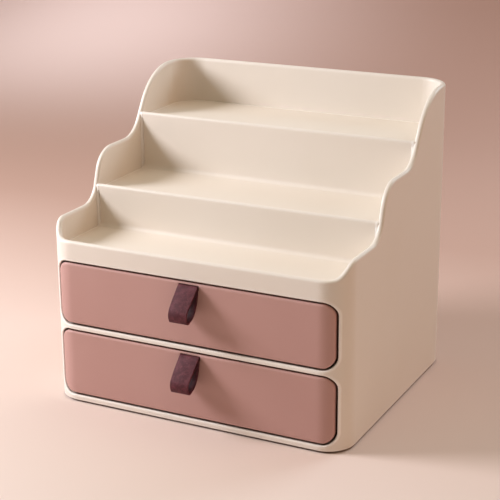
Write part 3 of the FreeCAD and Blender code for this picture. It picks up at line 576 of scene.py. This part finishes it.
# %% Feet
FOOT_RIM, CUP_SLOPE, CUP_DEPTH, FOOT_ROUND = 1.8 * MM, 0.5 * MM, 0.7 * MM, 0.35 * MM

for corner in ("front_left", "front_right", "rear_left", "rear_right"):
    low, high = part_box(corner + "_foot")
    clear_selection()
    bpy.ops.mesh.primitive_cylinder_add(vertices=64, radius=(high.x - low.x) / 2, depth=high.z - low.z,
                                        location=(low + high) / 2)
    foot = bpy.context.object
    foot.name = corner + "_rubber_foot"
    apply_all(foot)
    edit(foot)
    pick(foot, lambda f: f.normal.z < -0.9)
    bpy.ops.mesh.inset(thickness=FOOT_RIM)
    bpy.ops.mesh.inset(thickness=CUP_SLOPE, depth=-CUP_DEPTH)
    select_only(foot)
    rounding = foot.modifiers.new("rounding", "BEVEL")
    rounding.width, rounding.segments = FOOT_ROUND, 3
    rounding.limit_method, rounding.angle_limit = "ANGLE", math.radians(30)
    apply_all(foot)
    bpy.ops.object.shade_smooth_by_angle(angle=math.radians(35))
    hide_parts(corner + "_foot")
    keep_piece(foot, "foot_rubber", "housing")
    print(foot.name, len(foot.data.polygons), "faces")

# %% [markdown]
# ## Where the steps meet the side walls
#
# On the moulding, each riser runs into the side walls with a small fillet, and
# the end of its lip melts into the rim. The fillets could be sculpted, but a
# plain way shows the geometry better: a square bar with a cylinder taken out of
# it leaves exactly the hollow of a fillet. The top of each bar slopes with the
# rim, which a ray cast down on to the side wall finds. The lip ends are short
# bars whose top edges carry the same rounding as the lip. All of them are
# joined into one piece, because on the real case they are one moulding.

# %% Sizes around the risers
WALL, LIP_WIDTH, LIP_ROUND, RIM_ROUND = 5.0 * MM, 4.5 * MM, 1.9 * MM, 2.2 * MM
FILLET_RADIUS, SUNK = 2.0 * MM, 0.2 * MM
SKIN = 0.02 * MM  # how far a lip end stands proud, so that no two faces coincide
# Front face of each riser, the floor in front of it and the top of its lip.
RISERS = ((-35.9 * MM, 139.5 * MM, 178.0 * MM), (44.1 * MM, 174.5 * MM, 227.5 * MM))
inner_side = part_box("housing_shell")[1].x - WALL


def rim_height(y):
    """How high the rim of the side wall stands at a distance from the front."""
    above = Vector((inner_side + WALL / 2, y, 0.5))
    return nodes["housing_shell"].ray_cast(above, Vector((0.0, 0.0, -1.0)))[1].z


def add_block(low, high):
    """A block between two corners."""
    clear_selection()
    low, high = Vector(low), Vector(high)
    bpy.ops.mesh.primitive_cube_add(size=1, location=(low + high) / 2, scale=high - low)
    block = bpy.context.object
    apply_all(block)
    return block


# %% Fillet bars and lip ends
def draw_fillet(side, face, floor, top):
    """A bar in the corner with a quarter hollow, for side -1 (left) or 1 (right)."""
    hollow_x, hollow_y = side * (inner_side - FILLET_RADIUS), face - FILLET_RADIUS
    left, right = sorted((hollow_x, side * (inner_side + SUNK)))
    below_lip = top - LIP_ROUND
    end = min(below_lip, rim_height(hollow_y) - RIM_ROUND - 0.4 * MM)
    bar = add_block((left, hollow_y, floor - SUNK), (right, face + SUNK, end))
    climb = min(rim_height(face) - rim_height(hollow_y), below_lip - end)
    edit(bar, "VERT")
    pick(bar, lambda v: v.co.z > end - 0.1 * MM and v.co.y > face, "VERT")
    bpy.ops.transform.translate(value=(0.0, 0.0, climb))
    clear_selection()
    bpy.ops.mesh.primitive_cylinder_add(vertices=64, radius=FILLET_RADIUS, depth=0.2,
                                        location=(hollow_x, hollow_y, (floor + top) / 2))
    take_out(bar, bpy.context.object)
    return bar


def draw_lip_end(side, face, top):
    """A short bar on the end of the lip, rounded like it, that runs into the rim."""
    overlap = 1.5 * MM
    left, right = sorted((side * (inner_side - overlap), side * (inner_side + RIM_ROUND)))
    foot_height = rim_height(face) - 6.0 * MM
    bar = add_block((left, face - SKIN, foot_height), (right, face + LIP_WIDTH, top + SKIN))
    edit(bar, "EDGE")
    near = 0.1 * MM
    pick_edges(bar, lambda m: m.z > foot_height + near and side * m.x > inner_side - overlap + near)
    bpy.ops.mesh.bevel(offset=LIP_ROUND, segments=6, profile=0.5, affect="EDGES")
    print("lip end", round(foot_height / MM, 1), "to", round(top / MM, 1), "mm")
    return bar


# %% Join them into one piece
joints = []
for face, floor, top in RISERS:
    for side in (-1, 1):
        joints += [draw_fillet(side, face, floor, top), draw_lip_end(side, face, top)]
select_only(*joints)
bpy.ops.object.join()
fillets = bpy.context.object
fillets.name = "riser_fillets"
bpy.ops.object.shade_smooth_by_angle(angle=math.radians(30))
keep_piece(fillets, "ivory_plastic", "housing")
print(fillets.name, len(fillets.data.polygons), "faces")

# %% [markdown]
# ## Finishes
#
# Every finish is a Principled shader fed by small node groups that can be used
# again. Each group has named inputs, so the same effect serves different
# materials at its own scale and strength:
#
# - moulded grain: the fine texture that a spark-eroded mould leaves in plastic;
# - worn and highlit edges: compares the true normal with a rounded one, so it
#   finds every edge without a painted mask, and it hands the rounded normal on as
#   well; the lighter colour it mixes into the edges is partly wear and partly a
#   painted highlight;
# - rim coat and highlight: occlusion measured inwards, which is high where a wall
#   is thin, as along the rim of the side walls; there it mixes in a lighter
#   colour as a painted highlight and adds a glossy coat;
# - painted gap shade: occlusion measured outwards, which paints a dark warm shade
#   into the colour in the gaps around the drawer fronts and in the leather folds;
# - leather grain: cells with soft valleys between them.

# %% Group tools
def make_group(name, inputs, outputs):
    """A node group with named sockets: its tree, its inputs and its output node."""
    group = bpy.data.node_groups.new(name, "ShaderNodeTree")
    for socket, kind, value in inputs:
        made = group.interface.new_socket(name=socket, in_out="INPUT", socket_type=kind)
        if value is not None:
            made.default_value = value
    for socket, kind in outputs:
        group.interface.new_socket(name=socket, in_out="OUTPUT", socket_type=kind)
    entry = group.nodes.new("NodeGroupInput")
    return group, entry.outputs, group.nodes.new("NodeGroupOutput")


VECTOR, COLOUR, FLOAT = "NodeSocketVector", "NodeSocketColor", "NodeSocketFloat"


# %% Group: moulded grain
CLOUD_SCALE, SMUDGE_SCALE, SMUDGE_SHEEN = 9.0, 38.0, 0.16

grain, g_in, g_out = make_group(
    "moulded_grain",
    [("Vector", VECTOR, None), ("Base", COLOUR, (0.8, 0.8, 0.8, 1)), ("Tint", COLOUR, (0.7, 0.7, 0.7, 1)),
     ("Scale", FLOAT, 1400.0), ("Roughness", FLOAT, 0.45)],
    [("Color", COLOUR), ("Roughness", FLOAT), ("Height", FLOAT)],
)
fine = node(grain, "ShaderNodeTexNoise",
            {"Vector": g_in["Vector"], "Scale": g_in["Scale"], "Detail": 3.0, "Roughness": 0.6})
cloud = node(grain, "ShaderNodeTexNoise",
             {"Vector": g_in["Vector"], "Scale": CLOUD_SCALE, "Detail": 2.0})
smudge = node(grain, "ShaderNodeTexNoise",
              {"Vector": g_in["Vector"], "Scale": SMUDGE_SCALE, "Detail": 4.0, "Roughness": 0.7})
drift = node(grain, "ShaderNodeMapRange", {"Value": cloud.outputs["Fac"], "From Min": 0.35, "From Max": 0.7})
drifting = mix_colour(grain, drift.outputs["Result"], g_in["Base"], g_in["Tint"])
sheen_shift = math_node(grain, "MULTIPLY_ADD", smudge.outputs["Fac"], SMUDGE_SHEEN, -SMUDGE_SHEEN / 2)
sheen = math_node(grain, "ADD", g_in["Roughness"], sheen_shift)
fill(g_out, {"Color": drifting, "Roughness": sheen, "Height": fine.outputs["Fac"]})
print("group", grain.name)

# %% Group: worn edges with a painted highlight
PATCH_SCALE, PATCH_STRENGTH = 160.0, 6.0

wear_and_highlight, w_in, w_out = make_group(
    "worn_and_highlit_edges",
    [("Vector", VECTOR, None), ("Radius", FLOAT, 0.0016), ("Amount", FLOAT, 0.5)],
    [("Mask", FLOAT), ("Normal", VECTOR)],
)
soft = node(wear_and_highlight, "ShaderNodeBevel", {"Radius": w_in["Radius"]}, samples=4)
sharp = node(wear_and_highlight, "ShaderNodeNewGeometry")
match = node(wear_and_highlight, "ShaderNodeVectorMath", {0: soft.outputs["Normal"], 1: sharp.outputs["Normal"]},
             operation="DOT_PRODUCT")
bent = math_node(wear_and_highlight, "SUBTRACT", 1.0, match.outputs["Value"], clamp=True)
patchy = node(wear_and_highlight, "ShaderNodeTexNoise", {"Vector": w_in["Vector"], "Scale": PATCH_SCALE, "Detail": 4.0})
patches = math_node(wear_and_highlight, "MULTIPLY_ADD", patchy.outputs["Fac"], PATCH_STRENGTH, 1.0)
broken = math_node(wear_and_highlight, "MULTIPLY", bent, patches)
wear_and_highlight_mask = math_node(wear_and_highlight, "MULTIPLY", broken, w_in["Amount"], clamp=True)
fill(w_out, {"Mask": wear_and_highlight_mask, "Normal": soft.outputs["Normal"]})
print("group", wear_and_highlight.name)


# %% Groups: rim coat with a painted highlight, and painted gap shade
def occlusion_mask(group, leave, reach, start, end, amount, **settings):
    """Occlusion within a reach, as a mask that grows from a start to an end value."""
    hidden = node(group, "ShaderNodeAmbientOcclusion", {"Distance": reach}, samples=8, **settings)
    deep = node(group, "ShaderNodeMapRange",
                {"Value": hidden.outputs["AO"], "From Min": start, "From Max": end})
    mask = math_node(group, "MULTIPLY", deep.outputs["Result"], amount, clamp=True)
    fill(leave, {"Mask": mask})
    print("group", group.name)


# Painted highlight: the thin rims get a lighter colour, and a glossy coat from the same mask.
rim_coat_and_highlight, r_in, r_out = make_group(
    "rim_coat_and_painted_highlight",
    [("Depth", FLOAT, 0.003), ("Amount", FLOAT, 0.6)],
    [("Mask", FLOAT)],
)
occlusion_mask(rim_coat_and_highlight, r_out, r_in["Depth"], 0.95, 0.6, r_in["Amount"], inside=True, only_local=True)
painted_shade_group, k_in, k_out = make_group(
    "painted_gap_and_fold_shade",
    [("Reach", FLOAT, 0.006), ("Start", FLOAT, 0.36), ("End", FLOAT, 0.2), ("Amount", FLOAT, 1.0)],
    [("Mask", FLOAT)],
)
occlusion_mask(painted_shade_group, k_out, k_in["Reach"], k_in["Start"], k_in["End"], k_in["Amount"])


# %% Material tools
def new_material(name):
    """A material with its tree, its Principled shader and its object coordinates."""
    made = bpy.data.materials.new(name)
    made.use_nodes = True
    tree = made.node_tree
    return made, tree, tree.nodes["Principled BSDF"], node(tree, "ShaderNodeTexCoord").outputs["Object"]


def add_relief(tree, shader, height, strength, distance, **sockets):
    """Raise the surface by a height; sockets can hand on another normal."""
    relief = node(tree, "ShaderNodeBump",
                  {"Height": height, "Strength": strength, "Distance": distance, **sockets})
    tree.links.new(relief.outputs["Normal"], shader.inputs["Normal"])


# %% Moulded plastics
# Painted shade: a dark warm colour mixed in where the gaps around the drawer fronts lie in shade.
PAINTED_GAP_SHADE = (0.11, 0.028, 0.006, 1)
COAT_ROUGHNESS = 0.33


def moulded(name, base, tint, edge, roughness, scale=1400.0, bump=0.12, depth=0.00006,
            wear_and_highlight_amount=0.5, edge_round_radius=0.0016, rim_highlight_amount=0.0):
    """A moulded plastic: drifting colour and fine grain, edges lighter from wear and
    a painted highlight, and painted shade in the gaps.
    """
    made, tree, shader, place = new_material(name)
    skin = node(tree, "ShaderNodeGroup", {
        "Base": (*base, 1), "Tint": (*tint, 1), "Scale": scale, "Roughness": roughness, "Vector": place,
    }, node_tree=grain)
    # Painted highlight: the edge mask mixes in the lighter edge colour, partly as wear and partly where
    # rounded edges catch the light.
    worn = node(tree, "ShaderNodeGroup", {
        "Amount": wear_and_highlight_amount, "Radius": edge_round_radius, "Vector": place,
    }, node_tree=wear_and_highlight)
    rim_highlit = node(tree, "ShaderNodeGroup", {"Amount": rim_highlight_amount}, node_tree=rim_coat_and_highlight)
    lighter = math_node(tree, "MAXIMUM", worn.outputs["Mask"], rim_highlit.outputs["Mask"])
    colour = mix_colour(tree, lighter, skin.outputs["Color"], (*edge, 1))
    # Painted shade: the colour is darkened in the gaps round the drawer fronts.
    shaded = node(tree, "ShaderNodeGroup", node_tree=painted_shade_group)
    colour = mix_colour(tree, shaded.outputs["Mask"], colour, PAINTED_GAP_SHADE)
    fill(shader, {"Base Color": colour, "Roughness": skin.outputs["Roughness"]})
    if rim_highlight_amount:
        fill(shader, {"Coat Weight": rim_highlit.outputs["Mask"], "Coat Roughness": COAT_ROUGHNESS})
    add_relief(tree, shader, skin.outputs["Height"], bump, depth, Normal=worn.outputs["Normal"])
    return made


# The near-white edge colour of the ivory is a painted highlight along its edges and rims.
ivory = moulded("ivory_moulded", (0.86, 0.785, 0.70), (0.845, 0.765, 0.675), (1.0, 0.94, 0.88), 0.42,
                wear_and_highlight_amount=0.9, rim_highlight_amount=1.0)
tray_white = moulded("tray_moulded", (0.82, 0.74, 0.64), (0.80, 0.71, 0.61), (0.9, 0.84, 0.76), 0.5)
runner_white = moulded("runner_moulded", (0.76, 0.69, 0.60), (0.72, 0.65, 0.56), (0.85, 0.8, 0.72), 0.35)
# The rose base colour is raised by an even grey, a painted sheen standing in for the reflection of the
# soft-touch finish; its lighter edge colour is a painted highlight along the rounded edges.
rose = moulded("rose_soft_touch", (0.555, 0.318, 0.284), (0.525, 0.292, 0.258), (0.80, 0.50, 0.46), 0.5,
               wear_and_highlight_amount=1.0, edge_round_radius=0.003)
print("plastics ready")

# %% Group: leather grain
WARP_SCALE, WARP_REACH, RUB_SCALE = 420.0, 0.0011, 210.0

hide, h_in, h_out = make_group(
    "leather_grain",
    [("Vector", VECTOR, None), ("Base", COLOUR, (0.1, 0.03, 0.035, 1)),
     ("Worn", COLOUR, (0.16, 0.06, 0.065, 1)), ("Scale", FLOAT, 900.0)],
    [("Color", COLOUR), ("Roughness", FLOAT), ("Height", FLOAT)],
)
# Noise pushes the coordinates about, so that the cells aren't regular.
warp = node(hide, "ShaderNodeTexNoise", {"Vector": h_in["Vector"], "Scale": WARP_SCALE, "Detail": 2.0})
shift = node(hide, "ShaderNodeVectorMath", {0: warp.outputs["Color"], 1: (0.5, 0.5, 0.5)},
             operation="SUBTRACT")
bend = node(hide, "ShaderNodeVectorMath", {0: shift.outputs["Vector"], "Scale": WARP_REACH},
            operation="SCALE")
moved = node(hide, "ShaderNodeVectorMath", {0: h_in["Vector"], 1: bend.outputs["Vector"]}, operation="ADD")
pebble = node(hide, "ShaderNodeTexVoronoi", {"Vector": moved.outputs["Vector"], "Scale": h_in["Scale"]},
              feature="DISTANCE_TO_EDGE")
crease = node(hide, "ShaderNodeMapRange", {"Value": pebble.outputs["Distance"], "From Max": 0.3},
              interpolation_type="SMOOTHSTEP").outputs["Result"]
# The tops of the cells are rubbed lighter in patches.
broad = node(hide, "ShaderNodeTexNoise",
             {"Vector": h_in["Vector"], "Scale": RUB_SCALE, "Detail": 5.0, "Roughness": 0.65}).outputs["Fac"]
rubbed = node(hide, "ShaderNodeMapRange",
              {"Value": broad, "From Min": 0.42, "From Max": 0.72}).outputs["Result"]
cell_tops = math_node(hide, "MULTIPLY_ADD", crease, 0.7, 0.3)
lightened = math_node(hide, "MULTIPLY", rubbed, cell_tops)
fill(h_out, {
    "Color": mix_colour(hide, lightened, h_in["Base"], h_in["Worn"]),
    "Roughness": math_node(hide, "MULTIPLY_ADD", rubbed, -0.1, 0.62),
    "Height": math_node(hide, "MULTIPLY_ADD", broad, 0.6, crease),
})
print("group", hide.name)

# %% Leather and its cut edge
PAINTED_FOLD_SHADE = (0.010, 0.002, 0.003, 1)
LEATHER_SPECULAR = 0.36


def leather(name, base, worn, scale, bump, depth):
    """Grained leather with deep shade painted into its colour inside the fold."""
    made, tree, shader, place = new_material(name)
    skin = node(tree, "ShaderNodeGroup", {
        "Base": (*base, 1), "Worn": (*worn, 1), "Scale": scale, "Vector": place,
    }, node_tree=hide)
    # Painted shade: inside the fold the colour darkens nearly to black.
    fold = node(tree, "ShaderNodeGroup", {
        "Reach": 0.02, "Start": 0.62, "End": 0.3, "Amount": 0.9,
    }, node_tree=painted_shade_group)
    colour = mix_colour(tree, fold.outputs["Mask"], skin.outputs["Color"], PAINTED_FOLD_SHADE)
    fill(shader, {"Base Color": colour, "Roughness": skin.outputs["Roughness"],
                  "Specular IOR Level": LEATHER_SPECULAR})
    add_relief(tree, shader, skin.outputs["Height"], bump, depth)
    return made


plum_leather = leather("plum_leather", (0.078, 0.010, 0.018), (0.225, 0.043, 0.062), 980.0, 0.8, 0.00015)
cut_edge = leather("leather_cut_edge", (0.10, 0.022, 0.030), (0.21, 0.072, 0.08), 2600.0, 0.35, 0.00006)
for strap, face, slit in straps.values():
    strap.data.materials.clear()
    strap.data.materials.append(plum_leather)
    strap.data.materials.append(cut_edge)
print("leather ready")

# %% [markdown]
# Plated steel and rubber: the steel is metallic with fine brush lines left by
# the die, crossed by a few darker handling marks, and the rubber is nearly
# black and matt, with edges lighter from wear and a painted highlight.

# %% Steel and rubber
def steel(name, base, dull, roughness, stretch):
    """Plated steel: stretched noise makes drawn lines, round noise dull marks."""
    made, tree, shader, place = new_material(name)
    drawn = node(tree, "ShaderNodeMapping", {"Vector": place, "Scale": stretch})
    lines = node(tree, "ShaderNodeTexNoise",
                 {"Vector": drawn.outputs["Vector"], "Scale": 900.0, "Detail": 4.0}).outputs["Fac"]
    marks = node(tree, "ShaderNodeTexNoise", {"Vector": place, "Scale": 260.0, "Detail": 5.0})
    stain = node(tree, "ShaderNodeMapRange",
                 {"Value": marks.outputs["Fac"], "From Min": 0.5, "From Max": 0.75})
    fill(shader, {
        "Base Color": mix_colour(tree, stain.outputs["Result"], (*base, 1), (*dull, 1)),
        "Roughness": math_node(tree, "MULTIPLY_ADD", lines, 0.2, roughness),
        "Metallic": 1.0,
    })
    add_relief(tree, shader, lines, 0.15, 0.00003)
    return made


clamp_steel = steel("zinc_sheet", (0.62, 0.63, 0.64), (0.45, 0.45, 0.44), 0.28, (0.15, 1.0, 1.0))
screw_steel = steel("zinc_wire", (0.60, 0.60, 0.58), (0.38, 0.37, 0.34), 0.24, (1.0, 1.0, 1.0))
foot_rubber = moulded("foot_rubber", (0.030, 0.028, 0.027), (0.045, 0.042, 0.040), (0.11, 0.10, 0.095),
                      0.78, scale=2200.0, bump=0.3, depth=0.00008)

# %% Put the finishes on the solids
finishes = {
    "ivory_plastic": ivory,
    "tray_plastic": tray_white,
    "runner_plastic": runner_white,
    "rose_plastic": rose,
    "clamp_steel": clamp_steel,
    "screw_steel": screw_steel,
    "foot_rubber": foot_rubber,
}


def dress(piece, finish):
    piece.data.materials.clear()
    piece.data.materials.append(finish)


for slot, pieces in made_pieces.items():
    for piece in pieces:
        dress(piece, finishes[slot])
slots = {part["node"]: part["material_slot"] for part in frame["record"]["subparts"]}
plain = [name for name in nodes if slots[name] in finishes]
for name in plain:
    dress(nodes[name], finishes[slots[name]])
print("dressed", len(plain), "solids")

# %% [markdown]
# ## Sweep paper
#
# A roll of studio paper is matt and plain, and the light falls off along it. A
# colour ramp over the sheet's own length gives that: palest under the front of
# the organiser, deeper far behind it. It could be one flat colour, but then the
# backdrop would glare as much as the floor.

# %% Sweep paper
PAPER_START, PAPER_END = -0.4, 1.6
# How far along the ramp each tone stands, and the tone.
PAPER_TONES = (
    (0.08, (0.80, 0.675, 0.615, 1)),
    (0.22, (0.74, 0.565, 0.495, 1)),
    (0.42, (0.575, 0.375, 0.31, 1)),
    (1.0, (0.54, 0.325, 0.27, 1)),
)

paper, tree, shader, place = new_material("sweep_paper")
along = node(tree, "ShaderNodeSeparateXYZ", {"Vector": place})
length = node(tree, "ShaderNodeMapRange",
              {"Value": along.outputs["Y"], "From Min": PAPER_START, "From Max": PAPER_END})
tones = node(tree, "ShaderNodeValToRGB", {"Fac": length.outputs["Result"]})
ramp = tones.color_ramp.elements
for element, (at, colour) in zip(ramp, (PAPER_TONES[0], PAPER_TONES[-1])):
    element.position, element.color = at, colour
for at, colour in PAPER_TONES[1:-1]:
    ramp.new(at).color = colour
fibre = node(tree, "ShaderNodeTexNoise", {"Vector": place, "Scale": 900.0, "Detail": 3.0})
fill(shader, {"Base Color": tones.outputs["Color"], "Roughness": 0.85})
add_relief(tree, shader, fibre.outputs["Fac"], 0.1, 0.0001)
sweep.data.materials.append(paper)
print("paper tones", len(ramp))
